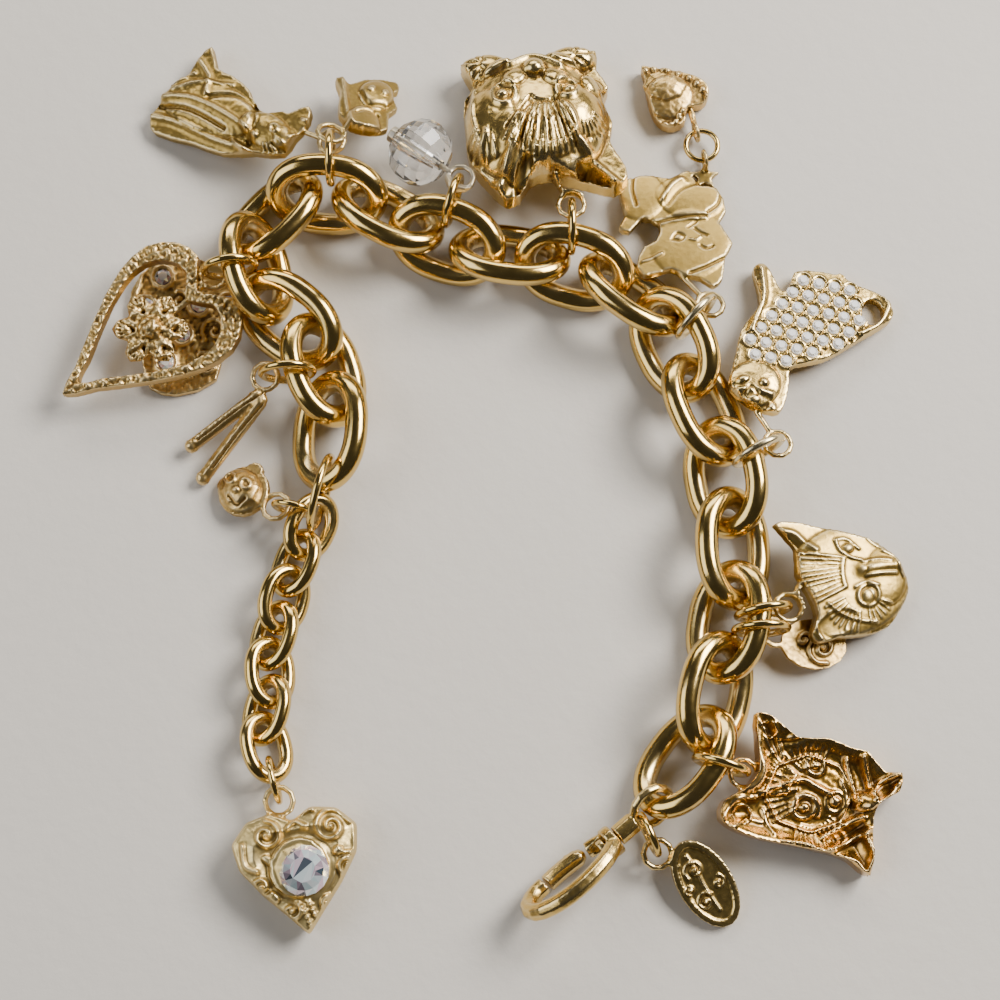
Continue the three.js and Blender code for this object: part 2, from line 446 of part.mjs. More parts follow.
// Glass bead on its pin
const bead = { radius: 4.9, long: 7.6, hole: 0.75, pin: 0.45, sides: 12 };
{
  const ring = hang(ovalPoint(main[10], -86), link.wire / 2, 72, { drop: 0, eyeAt: 0 });
  const axis = flat(143);
  const start = ring.hold.clone();
  const tip = start.clone().addScaledVector(axis, eye.bore + 2 + bead.long + 1.2);
  tip.z = start.z - 1.2;
  const along = tip.clone().sub(start).normalize();
  const middle = start.clone().addScaledVector(along, eye.bore + 2 + bead.long / 2);
  const h = bead.long / 2;
  const profile = [[bead.hole, -h], [2.6, -h], [4.2, -h * 0.62], [bead.radius, -h * 0.2], [bead.radius, h * 0.2],
    [4.2, h * 0.62], [2.6, h], [bead.hole, h], [bead.hole, -h]].map(([r, y]) => new THREE.Vector2(r, y));
  const turn = new THREE.Quaternion().setFromUnitVectors(v(0, 1, 0), along);
  const body = new THREE.LatheGeometry(profile, bead.sides).applyQuaternion(turn);
  add('ring_glass_bead', ring.geometry);
  add('glass_bead', body.translate(...middle.toArray()), 0xdfe3e6);
  const cap = middle.clone().addScaledVector(along, h + gap + 0.6);
  const side = along.clone().cross(v(0, 0, 1)).normalize();
  add('bead_pin', union(placed(eyeRing(), start, along, side),
    bar(start.clone().addScaledVector(along, eye.bore), cap, bead.pin),
    bar(cap.clone().addScaledVector(along, -0.6), cap.clone().addScaledVector(along, 0.6), 1.3, 8)), 0x55504a);
}

// The bracelet, its origin under the middle of its extent
const group = new THREE.Group();
Object.entries(pieces).forEach(([name, geometry]) => {
  const solid = geometry.index ? geometry : mergeVertices(geometry);
  solid.computeVertexNormals();
  const mesh = new THREE.Mesh(solid, new THREE.MeshStandardMaterial({ color: tints[name] }));
  mesh.name = name;
  group.add(mesh);
});
const extent = new THREE.Box3().setFromObject(group);
const middle = extent.getCenter(new THREE.Vector3());
group.position.set(-middle.x, -middle.y, -extent.min.z);
export default group;
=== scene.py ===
import math

import bpy
import numpy as np
from bpy.props import FloatProperty, FloatVectorProperty, PointerProperty
from mathutils import Matrix, Vector, kdtree, noise


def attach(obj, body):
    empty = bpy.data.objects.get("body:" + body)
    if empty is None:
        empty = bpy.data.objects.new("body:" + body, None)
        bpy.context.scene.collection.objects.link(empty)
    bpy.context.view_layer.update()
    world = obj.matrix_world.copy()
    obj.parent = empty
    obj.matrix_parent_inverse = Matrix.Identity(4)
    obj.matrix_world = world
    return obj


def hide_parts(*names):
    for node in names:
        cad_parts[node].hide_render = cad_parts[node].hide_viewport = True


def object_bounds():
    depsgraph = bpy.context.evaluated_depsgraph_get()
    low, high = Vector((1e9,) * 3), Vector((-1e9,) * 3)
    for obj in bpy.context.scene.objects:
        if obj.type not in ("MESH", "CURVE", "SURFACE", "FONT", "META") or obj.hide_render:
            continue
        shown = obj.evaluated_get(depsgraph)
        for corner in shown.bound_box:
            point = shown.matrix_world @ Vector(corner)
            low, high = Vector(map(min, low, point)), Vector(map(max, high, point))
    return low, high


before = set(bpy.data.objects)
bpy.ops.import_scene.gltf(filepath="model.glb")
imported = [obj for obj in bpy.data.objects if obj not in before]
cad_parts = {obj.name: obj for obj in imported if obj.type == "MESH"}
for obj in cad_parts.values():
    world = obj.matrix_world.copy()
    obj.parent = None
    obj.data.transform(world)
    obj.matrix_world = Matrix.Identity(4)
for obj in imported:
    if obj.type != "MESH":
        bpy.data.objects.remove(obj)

bl_info = {
    "name": "Charm bracelet",
    "version": (1, 0, 0),
    "blender": (4, 5, 0),
    "location": "View3D > Sidebar > Bracelet",
    "description": "Dresses a charm bracelet: smooth links, cast cats and hearts, cut stones",
    "category": "Add Mesh",
}

MM = 0.001
BODY = "bracelet"
CAD_BOX = [list(corner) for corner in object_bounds()]

# The photograph's place: looking down at the lying bracelet from its open side.
ELEVATION = math.radians(75)
DISTANCE = 300 * MM
ACROSS = 140 * MM
AIM = Vector((2.42 * MM, -4.18 * MM, 0))
PICTURE = 1000
FOCAL = PICTURE * DISTANCE / ACROSS
BACK = np.array([0, -math.cos(ELEVATION), math.sin(ELEVATION)])
UPWARD = np.array([0, math.sin(ELEVATION), math.cos(ELEVATION)])
EYE = np.array(AIM) + BACK * DISTANCE


def seen(points):
    """Where points in the row frame show in the picture, in picture points."""
    ray = np.asarray(points) - EYE
    depth = -(ray @ BACK)
    return np.stack([PICTURE / 2 + FOCAL * ray[..., 0] / depth, PICTURE / 2 - FOCAL * (ray @ UPWARD) / depth], -1)


def reached(x, y, normal, point):
    """The point of a plane that shows at a picture point."""
    ray = np.array([(x - PICTURE / 2) / FOCAL, 0, 0]) + UPWARD * (PICTURE / 2 - y) / FOCAL - BACK
    return Vector(EYE + ray * (np.dot(normal, np.asarray(point) - EYE) / np.dot(normal, ray)))


# ---- properties ----
class BraceletFinish(bpy.types.PropertyGroup):
    gold: FloatVectorProperty(name="Gold", description="Colour of the polished gold plate", subtype="COLOR",
                              size=3, min=0, max=1, default=(0.74, 0.52, 0.17))
    pale: FloatVectorProperty(name="Worn metal", description="Colour where the plate is rubbed thin",
                              subtype="COLOR", size=3, min=0, max=1, default=(0.80, 0.68, 0.42))
    wash: FloatVectorProperty(name="Dark wash", description="Colour left in the hollows of a casting",
                              subtype="COLOR", size=3, min=0, max=1, default=(0.10, 0.055, 0.018))
    amber: FloatVectorProperty(name="Amber", description="Colour of the hollow casting's inside",
                               subtype="COLOR", size=3, min=0, max=1, default=(0.76, 0.43, 0.08))


class BraceletSizes(bpy.types.PropertyGroup):
    voxel: FloatProperty(name="Casting detail", description="Mesh size of a cast charm", default=0.2 * MM,
                         min=0.05 * MM, unit="LENGTH")
    setting: FloatProperty(name="Stone radius", description="Radius of a small set stone", default=0.98 * MM,
                           min=0.2 * MM, unit="LENGTH")
    key: FloatProperty(name="Key light", description="Power of the soft light on the right", default=8.0, min=0,
                       unit="POWER")
    floor: FloatVectorProperty(name="Surface", description="Colour of the surface it lies on", subtype="COLOR",
                               size=3, min=0, max=1, default=(0.64, 0.605, 0.55))


# ---- shader maths ----
class Value:
    """A number socket that can be used in Python expressions."""

    def __init__(self, tree, socket):
        self.tree, self.socket = tree, socket

    def _maths(self, operation, *others, swap=False):
        node = self.tree.nodes.new("ShaderNodeMath")
        node.operation = operation
        terms = [self, *others]
        if swap:
            terms.reverse()
        for place, term in zip(node.inputs, terms):
            if isinstance(term, Value):
                self.tree.links.new(term.socket, place)
            else:
                place.default_value = term
        return Value(self.tree, node.outputs[0])

    def __add__(self, other):
        return self._maths("ADD", other)

    def __radd__(self, other):
        return self._maths("ADD", other)

    def __sub__(self, other):
        return self._maths("SUBTRACT", other)

    def __rsub__(self, other):
        return self._maths("SUBTRACT", other, swap=True)

    def __mul__(self, other):
        return self._maths("MULTIPLY", other)

    def __rmul__(self, other):
        return self._maths("MULTIPLY", other)

    def clamped(self, low, high):
        return self._maths("MAXIMUM", low)._maths("MINIMUM", high)

    def power(self, other):
        return self._maths("POWER", other)


class Finish:
    """A new material with one principled shader and short ways to add nodes to it."""

    def __init__(self, name, **constants):
        self.material = bpy.data.materials.new(name)
        self.material.use_nodes = True
        self.tree = self.material.node_tree
        self.shader = self.tree.nodes["Principled BSDF"]
        for key, value in constants.items():
            self.shader.inputs[key.replace("_", " ")].default_value = value

    def node(self, kind, settings=None, output=0, **sockets):
        node = self.tree.nodes.new(kind)
        for key, value in (settings or {}).items():
            setattr(node, key, value)
        for key, value in sockets.items():
            place = node.inputs[int(key[1:]) if key[0] == "i" and key[1:].isdigit() else key.replace("_", " ")]
            self._plug(value, place)
        return Value(self.tree, node.outputs[output])

    def _plug(self, value, place):
        if isinstance(value, Value):
            self.tree.links.new(value.socket, place)
        else:
            place.default_value = value

    def feed(self, **sockets):
        for key, value in sockets.items():
            self._plug(value, self.shader.inputs[key.replace("_", " ")])

    def place(self):
        return self.node("ShaderNodeTexCoord", output="Object")

    def attribute(self, name):
        return self.node("ShaderNodeAttribute", {"attribute_name": name}, output="Fac")

    def noise(self, scale, detail=3.0, roughness=0.55):
        return self.node("ShaderNodeTexNoise", Vector=self.place(), Scale=scale, Detail=detail, Roughness=roughness)

    def mixed(self, share, first, second):
        return self.node("ShaderNodeMix", {"data_type": "RGBA"}, output=2, i0=share, i6=first, i7=second)

    def bumped(self, height, distance, strength=1.0):
        self.feed(Normal=self.node("ShaderNodeBump", Height=height, Distance=distance, Strength=strength))


def rgba(colour):
    return (*colour, 1.0)


def wire_finish(name, look, dull, colour=None):
    """Polished drawn wire, rubbed paler where links wear on each other."""
    colour = colour or tuple(look.gold)
    f = Finish(name, Metallic=1.0)
    patches = f.noise(260.0, 4.0)
    worn = (f.attribute("worn") * 1.1 + (patches - 0.5) * 1.3).clamped(0.0, 1.0)
    tone = f.mixed((patches * 1.6 - 0.45).clamped(0.0, 1.0), rgba(colour),
                   rgba([c * k for c, k in zip(colour, (0.84, 0.80, 0.72))]))
    f.feed(Base_Color=f.mixed(worn * 0.6, tone, rgba(look.pale)))
    f.feed(Roughness=(f.noise(900.0, 5.0) * 0.14 + dull + worn * 0.12).clamped(0.06, 0.6))
    f.bumped(f.noise(1500.0, 4.0), 0.008 * MM)
    return f.material


def cast_finish(name, look, colour, dull, washed, coat=0.0):
    """Gold-plated casting: bright on its edges, darker wash in its hollows, fine uneven skin."""
    f = Finish(name, Metallic=1.0, Coat_Weight=coat, Coat_Roughness=0.12)
    hollow = f.attribute("cavity")
    patches = f.noise(420.0, 4.0)
    dark = (hollow * washed + (patches - 0.62) * 0.35 * washed).clamped(0.0, 0.92)
    bright = (hollow * -0.9 - 0.1).clamped(0.0, 0.4)
    tone = f.mixed((patches * 1.7 - 0.5).clamped(0.0, 1.0), rgba(colour),
                   rgba([c * k for c, k in zip(colour, (0.82, 0.78, 0.68))]))
    tone = f.mixed(bright, tone, rgba(look.pale))
    f.feed(Base_Color=f.mixed(dark, tone, rgba(look.wash)))
    f.feed(Roughness=(f.noise(1300.0, 5.0) * 0.2 + dull + dark * 0.22).clamped(0.1, 0.85))
    f.bumped(f.noise(1700.0, 5.0), 0.02 * MM)
    return f.material


def stone_finish(name, glint_tints, metal):
    """Cut glass on foil, with painted glints: each facet gets one of four colours, painted light and shade standing in
    for the light it throws back.
    """
    f = Finish(name, Roughness=0.06, IOR=1.7, Metallic=metal, Coat_Weight=1.0, Coat_Roughness=0.02)
    facet_glint = f.attribute("facet_glint")
    tone = f.mixed((facet_glint * 3.0).clamped(0.0, 1.0), rgba(glint_tints[0]), rgba(glint_tints[1]))
    tone = f.mixed((facet_glint * 3.0 - 1.0).clamped(0.0, 1.0), tone, rgba(glint_tints[2]))
    f.feed(Base_Color=f.mixed((facet_glint * 3.0 - 2.0).clamped(0.0, 1.0), tone, rgba(glint_tints[3])))
    return f.material


def glass_finish(name):
    """Clear glass."""
    return Finish(name, Base_Color=(0.98, 0.98, 0.98, 1), Roughness=0.02, IOR=1.5, Transmission_Weight=0.95).material


def surface_finish(sizes):
    f = Finish("pale_surface", Roughness=0.85)
    f.feed(Base_Color=f.mixed(f.noise(9.0, 5.0) * 0.5, rgba(sizes.floor), rgba([c * 0.93 for c in sizes.floor])))
    f.bumped(f.noise(420.0, 6.0), 0.14 * MM, 0.7)
    return f.material


# ---- modelling ----
def only(piece):
    """Deselects everything else and makes the piece active."""
    bpy.ops.object.select_all(action="DESELECT")
    piece.hide_set(False)
    piece.select_set(True)
    bpy.context.view_layer.objects.active = piece


def applied(piece, kind, **settings):
    only(piece)
    modifier = piece.modifiers.new(kind.lower(), kind)
    for key, value in settings.items():
        setattr(modifier, key, value)
    bpy.ops.object.modifier_apply(modifier=modifier.name)


def made(name, material, body=BODY, smooth=True):
    """Names the active object, sets its place in its mesh, its finish and its body."""
    piece = bpy.context.object
    piece.name = piece.data.name = name
    only(piece)
    bpy.ops.object.transform_apply(location=True, rotation=True, scale=True)
    piece.data.materials.clear()
    piece.data.materials.append(material)
    if smooth:
        bpy.ops.object.shade_smooth()
    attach(piece, body)
    return piece


def corners(mesh):
    flat = np.empty(len(mesh.vertices) * 3)
    mesh.vertices.foreach_get("co", flat)
    return flat.reshape(-1, 3)


def normals(mesh):
    flat = np.empty(len(mesh.vertices) * 3)
    mesh.vertex_normals.foreach_get("vector", flat)
    return flat.reshape(-1, 3)


def set_corners(mesh, points):
    mesh.vertices.foreach_set("co", np.ascontiguousarray(points).ravel())
    mesh.update()


def painted(mesh, name, values):
    """Stores a number per vertex for the material."""
    layer = mesh.attributes.get(name) or mesh.attributes.new(name, "FLOAT", "POINT")
    layer.data.foreach_set("value", np.ascontiguousarray(values, dtype=np.float32))


def node_points(name):
    return corners(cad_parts[name].data)


def main_axes(points):
    """Middle of a ring or link and its directions, longest first and its own axis last."""
    unique = np.unique(np.round(points, 7), axis=0)
    middle = unique.mean(0)
    _, _, axes = np.linalg.svd(unique - middle, full_matrices=False)
    if np.linalg.det(axes) < 0:
        axes[2] = -axes[2]
    return middle, axes


def loop_piece(node, radius, wire, material, around, sides, stretch=0.0):
    """Round wire bent to a closed ring or oval, laid where the node is."""
    middle, axes = main_axes(node_points(node))
    bpy.ops.object.select_all(action="DESELECT")
    bpy.ops.mesh.primitive_torus_add(major_segments=around, minor_segments=sides, major_radius=radius,
                                     minor_radius=wire / 2)
    piece = made(node + "_wire", material)
    points = corners(piece.data)
    reach = np.hypot(points[:, 0], points[:, 1])
    share = points[:, 0] / reach
    inward = np.clip((radius - reach) / (wire / 2), 0, 1)
    # rubbed inside the ends, where the next link hangs, and a little along the outside
    worn = np.clip(inward * 1.3 - 0.15, 0, 1) * (0.3 + 0.7 * np.abs(share))
    points[:, 0] += stretch * np.sign(share) * np.abs(share) ** 0.6
    bend = np.array([noise.noise(Vector(p) * 300 + Vector(middle) * 1000) for p in points])
    points = points * (1 + 0.003 * bend)[:, None] @ axes + middle
    points[:, 2] -= min(points[:, 2].min(), 0)
    set_corners(piece.data, points)
    painted(piece.data, "worn", worn)
    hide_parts(node)
    return piece


# ---- relief: drawn features of a casting, in picture points, heights in millimetres ----
def curve(points, steps=6):
    """Smooth line through a few points."""
    p = np.array(points, float)
    if len(p) < 3:
        return p
    p = np.vstack([2 * p[0] - p[1], p, 2 * p[-1] - p[-2]])
    t = np.linspace(0, 1, steps, endpoint=False)[:, None]
    parts = [0.5 * (2 * p[i + 1] + (p[i + 2] - p[i]) * t + (2 * p[i] - 5 * p[i + 1] + 4 * p[i + 2] - p[i + 3]) * t**2
                    + (3 * p[i + 1] - p[i] - 3 * p[i + 2] + p[i + 3]) * t**3) for i in range(len(p) - 3)]
    return np.vstack([*parts, p[-2]])


def away(at, line):
    """Distance of each point from a line."""
    best = np.full(len(at), 1e9)
    for a, b in zip(line[:-1], line[1:]):
        run = b - a
        t = np.clip(((at - a) @ run) / max(run @ run, 1e-9), 0, 1)[:, None]
        best = np.minimum(best, np.hypot(*(at - a - t * run).T))
    return best


def ridge(at, points, width, height):
    return height * np.exp(-(away(at, curve(points)) / (width / 2)) ** 2)


def dome(at, x, y, rx, ry, turn, height, sharp=1.0):
    c, s = math.cos(math.radians(turn)), math.sin(math.radians(turn))
    u = ((at[:, 0] - x) * c - (at[:, 1] - y) * s) / rx
    w = ((at[:, 0] - x) * s + (at[:, 1] - y) * c) / ry
    return height * np.clip(1 - (u * u + w * w) ** sharp, 0, 1) ** 0.5


def bezel(at, x, y, radius, width, height):
    return height * np.exp(-((np.hypot(at[:, 0] - x, at[:, 1] - y) - radius) / width) ** 2)


def spiral(x, y, radius, turns, start, hand=1):
    """Points of a scroll, from its middle out."""
    count = int(10 * turns) + 1
    return [(x + radius * (k / (count - 1)) * math.cos(math.radians(start + hand * 36 * k)),
             y - radius * (k / (count - 1)) * math.sin(math.radians(start + hand * 36 * k))) for k in range(count)]


def casting(node, name, material, features=(), thick=None, keep=(), voxel=None, soften=3, body=BODY,
            roughen=0.0, profile=None, rounding=0):
    """A casting with rounded edges and drawn relief, in the place and outline of its node.

    The profile gives the face's height at the outline and far inside it, and how far in it changes."""
    sizes = bpy.context.scene.bracelet_sizes
    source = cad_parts[node]
    piece = source.copy()
    piece.data = source.data.copy()
    bpy.context.scene.collection.objects.link(piece)
    piece.parent = None
    for key in list(piece.keys()):
        if key.startswith("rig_"):
            del piece[key]
    only(piece)
    bpy.ops.object.mode_set(mode="EDIT")
    bpy.ops.mesh.select_all(action="SELECT")
    bpy.ops.mesh.remove_doubles(threshold=1e-6)
    bpy.ops.object.mode_set(mode="OBJECT")
    # the flat underside gives the plane that the charm lies in
    mesh = piece.data
    area = {}
    for face in mesh.polygons:
        if face.normal.z < -0.6:
            key = tuple(round(c, 2) for c in face.normal)
            area.setdefault(key, [0.0, face.normal.copy(), face.center.copy()])[0] += face.area
    _, under, foot = max(area.values(), key=lambda entry: entry[0])
    lift = -np.array(under)
    level = np.array(foot) @ lift
    applied(piece, "REMESH", mode="VOXEL", voxel_size=voxel or sizes.voxel)
    points = corners(mesh)
    if thick:
        over = points @ lift - level - thick * MM
        hit = over > 0
        at = seen(points)
        for x, y, reach in keep:
            hit &= np.hypot(at[:, 0] - x, at[:, 1] - y) > reach
        points[hit] -= np.outer(over[hit], lift)
        set_corners(mesh, points)
    applied(piece, "SMOOTH", factor=0.5, iterations=soften)
    if rounding:
        at = seen(corners(mesh))
        free = np.ones(len(at))
        for x, y, reach in keep:
            free *= np.clip((np.hypot(at[:, 0] - x, at[:, 1] - y) - reach) / 8, 0, 1)
        group = piece.vertex_groups.new(name="free")
        for step in range(1, 5):
            group.add(np.flatnonzero(free >= step / 4).tolist(), step / 4, "REPLACE")
        applied(piece, "SMOOTH", factor=0.5, iterations=rounding, vertex_group="free")
    points, out = corners(mesh), normals(mesh)
    at = seen(points)
    top = np.clip(((out @ lift) - 0.25) / 0.5, 0, 1)
    for x, y, reach in keep:
        top *= np.clip((np.hypot(at[:, 0] - x, at[:, 1] - y) - reach) / 5, 0, 1)
    height = np.zeros(len(points))
    if profile:
        edge, middle, reach = profile
        above = points @ lift - level
        level_points = points - np.outer(above, lift)
        outline = np.flatnonzero((np.abs(out @ lift) < 0.5) & (above < 0.6 * middle * MM))
        tree = kdtree.KDTree(len(outline))
        for i in outline:
            tree.insert(level_points[i], int(i))
        tree.balance()
        inside = np.array([tree.find(p)[2] for p in level_points]) / MM
        height = middle + (edge - middle) * np.exp(-(inside / reach) ** 2) - above / MM
    for kind, *terms in features:
        height += kind(at, *terms)
    if roughen:
        height += roughen * np.array([noise.fractal(Vector(p) * 1600, 0.8, 2.2, 3) for p in points])
    above = points @ lift - level
    raised = np.maximum(above + height * top * MM, 0.4 * MM)
    points += np.outer(np.where(top > 0, raised - above, 0), lift)
    # the relief stays under the top of the solid bracelet
    room = 0.6 * MM
    over = np.maximum(points[:, 2] - CAD_BOX[1][2] + room, 0)
    points[:, 2] -= over - room * np.tanh(over / room)
    set_corners(mesh, points)
    # hollows and edges, for the wash and the wear
    edges = np.empty(len(mesh.edges) * 2, dtype=np.int32)
    mesh.edges.foreach_get("vertices", edges)
    edges = edges.reshape(-1, 2)
    total, count = np.zeros_like(points), np.zeros(len(points))
    for a, b in ((0, 1), (1, 0)):
        np.add.at(total, edges[:, a], points[edges[:, b]])
        np.add.at(count, edges[:, a], 1)
    cavity = ((total / count[:, None] - points) * normals(mesh)).sum(1) / (voxel or sizes.voxel) * 9
    for _ in range(2):
        spread = np.zeros(len(points))
        for a, b in ((0, 1), (1, 0)):
            np.add.at(spread, edges[:, a], cavity[edges[:, b]])
        cavity = 0.4 * cavity + 0.6 * spread / count
    painted(mesh, "cavity", np.clip(cavity, -1, 1))
    only(piece)
    made(name, material, body)
    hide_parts(node)
    piece["lift"], piece["level"] = list(lift), float(level)
    return piece


def cut_stone(name, places, radius, material, facets=8, table_shade=0.0):
    """Cut stones: table, twisted crown and pavilion, one modelled and copied to every place, joined as one setting."""
    bpy.ops.object.select_all(action="DESELECT")
    bpy.ops.mesh.primitive_cone_add(vertices=facets, radius1=radius, radius2=0.8 * radius, depth=0.24 * radius)
    one = bpy.context.object
    for side, rise, share, twist in ((1, 0.24, 0.62, math.pi / facets), (-1, -0.5, 0.08, 0)):
        for face in one.data.polygons:
            face.select = face.normal.z * side > 0.9
        bpy.ops.object.mode_set(mode="EDIT")
        bpy.ops.mesh.select_mode(type="FACE")
        bpy.ops.mesh.extrude_region_move(TRANSFORM_OT_translate={"value": (0, 0, rise * radius)})
        bpy.ops.transform.resize(value=(share, share, 1))
        if twist:
            bpy.ops.transform.rotate(value=twist, orient_axis="Z", center_override=(0, 0, 0))
        bpy.ops.mesh.select_all(action="DESELECT")
        bpy.ops.object.mode_set(mode="OBJECT")
    bpy.ops.object.mode_set(mode="EDIT")
    bpy.ops.mesh.select_all(action="SELECT")
    bpy.ops.mesh.quads_convert_to_tris()
    bpy.ops.object.mode_set(mode="OBJECT")
    shape = corners(one.data)
    faces = [tuple(f.vertices) for f in one.data.polygons]
    table = [f.normal.z > 0.95 for f in one.data.polygons]
    bpy.data.objects.remove(one)
    points, polygons, shades = [], [], []
    for k, (where, up) in enumerate(places):
        turn = up.to_track_quat("Z", "Y").to_matrix() @ Matrix.Rotation(0.7 * k, 3, "Z")
        base = len(points)
        points += [tuple(Vector(where) + turn @ Vector(p)) for p in shape]
        polygons += [tuple(base + i for i in f) for f in faces]
        # each facet's shade is a painted glint: it picks a tint by the facet's number, not by the light
        shades += [table_shade if flat and table_shade is not None else (0.618 * (i + 3 * k)) % 1
                   for i, flat in enumerate(table)]
    mesh = bpy.data.meshes.new(name)
    mesh.from_pydata(points, [], polygons)
    mesh.attributes.new("facet_glint", "FLOAT", "FACE").data.foreach_set("value", np.array(shades, dtype=np.float32))
    piece = bpy.data.objects.new(name, mesh)
    bpy.context.scene.collection.objects.link(piece)
    only(piece)
    return made(name, material, smooth=False)


def lattice(region, pitch, turn):
    """Staggered places inside a region of the picture."""
    edge = np.array(region, float)
    middle = edge.mean(0)
    c, s = math.cos(math.radians(turn)), math.sin(math.radians(turn))
    found = []
    for row in range(-12, 13):
        for column in range(-12, 13):
            u, w = (column + 0.5 * (row % 2)) * pitch, row * pitch * 0.866
            x, y = middle + (c * u - s * w, s * u + c * w)
            inside = False
            for (x0, y0), (x1, y1) in zip(edge, np.roll(edge, -1, 0)):
                if (y0 > y) != (y1 > y) and x < (x1 - x0) * (y - y0) / (y1 - y0) + x0:
                    inside = not inside
            if inside:
                found.append((x, y))
    return found


def carried(piece, spots, reach):
    """The spots that lie on the charm's face with some metal all round."""
    lift = np.array(piece["lift"])
    points = corners(piece.data)
    high = seen(points[points @ lift > piece["level"] + 1.0 * MM])
    ring = [(reach * math.cos(a), reach * math.sin(a)) for a in np.linspace(0, 2 * math.pi, 8, endpoint=False)]
    return [(x, y) for x, y in spots
            if all(np.hypot(high[:, 0] - x - dx, high[:, 1] - y - dy).min() < 2.5 for dx, dy in ring)]


def on_charm(piece, spots, height):
    """Places on a charm's face at picture points, with its upward direction."""
    lift = np.array(piece["lift"])
    plane = lift * (piece["level"] + height * MM)
    return [(reached(x, y, lift, plane), Vector(lift)) for x, y, *_ in spots]


def fan(x, y, near, far, start, stop, count, width, height, squash=1.0):
    """Fine strands spreading from a point, for fur and petal ribs."""
    rows = []
    for k in range(count):
        a = math.radians(start + (stop - start) * k / max(count - 1, 1))
        rows.append((ridge, [(x + near * math.cos(a), y - near * math.sin(a) * squash),
                             (x + far * math.cos(a + 0.05), y - far * math.sin(a + 0.05) * squash)], width, height))
    return rows


def scroll(x, y, radius, turns, start, hand, height=0.45, width=3.2):
    """A raised scroll with a bead in its middle."""
    return [(ridge, spiral(x, y, radius, turns, start, hand), width, height), (dome, x, y, 3.0, 3.0, 0, height * 1.3)]


def beads_along(points, count, radius, height):
    line = curve(points)
    step = (len(line) - 1) / max(count - 1, 1)
    return [(dome, *line[round(k * step)], radius, radius, 0, height) for k in range(count)]


def moved(dx, dy, *groups):
    """Shifts drawn features, so that they sit on the charm where it hangs."""
    shifted = []
    for kind, *terms in [f for g in groups for f in (g if isinstance(g, list) else [g])]:
        if kind is ridge:
            shifted.append((kind, [(x + dx, y + dy) for x, y in terms[0]], *terms[1:]))
        else:
            shifted.append((kind, terms[0] + dx, terms[1] + dy, *terms[2:]))
    return shifted


def big_head():
    return moved(4, -13, [
        (dome, 532, 138, 72, 66, 0, 4.6), (dome, 486, 148, 27, 34, 10, 1.0), (dome, 576, 138, 24, 24, 0, 1.6),
        (dome, 545, 158, 30, 26, 0, 1.3), (dome, 530, 96, 12, 10, 0, 1.8), (dome, 510, 106, 13, 10, 15, 0.9),
        (dome, 551, 105, 13, 10, -10, 0.9), (bezel, 500, 124, 12, 3.0, 0.5), (bezel, 563, 119, 11, 3.0, 0.5),
        (dome, 500, 124, 8, 5, 25, 0.7), (dome, 563, 119, 8, 5, -20, 0.7),
        (dome, 480, 84, 27, 14, 8, 1.9), (dome, 567, 75, 25, 13, 4, 2.1), (dome, 588, 106, 12, 12, 0, 1.2),
        (ridge, [(505, 88), (530, 78), (556, 90)], 9, 0.9), (ridge, [(516, 150), (508, 175), (497, 202)], 11, 1.5),
        (ridge, [(572, 163), (596, 185), (618, 203)], 9, 1.5), (dome, 590, 193, 20, 10, -30, -2.4),
        (dome, 520, 196, 9, 18, -14, -2.0), (ridge, [(542, 202), (570, 206), (604, 214)], 7, 0.8),
        (ridge, [(482, 160), (478, 184), (492, 196)], 7, 0.6),
        (ridge, [(462, 104), (458, 140), (466, 180)], 8, -0.6), (ridge, [(470, 110), (468, 140), (476, 170)], 5, 0.5),
    ], fan(540, 112, 26, 70, -128, -62, 13, 2.6, 0.42), fan(540, 112, 20, 60, -132, -60, 9, 2.0, -0.5),
        fan(576, 140, 14, 26, -80, -10, 6, 2.2, 0.35), fan(486, 150, 14, 32, -160, -80, 6, 2.4, 0.3),
        fan(480, 84, 4, 22, 100, 260, 6, 2.2, -0.35), fan(567, 75, 4, 20, -60, 80, 5, 2.2, -0.35))


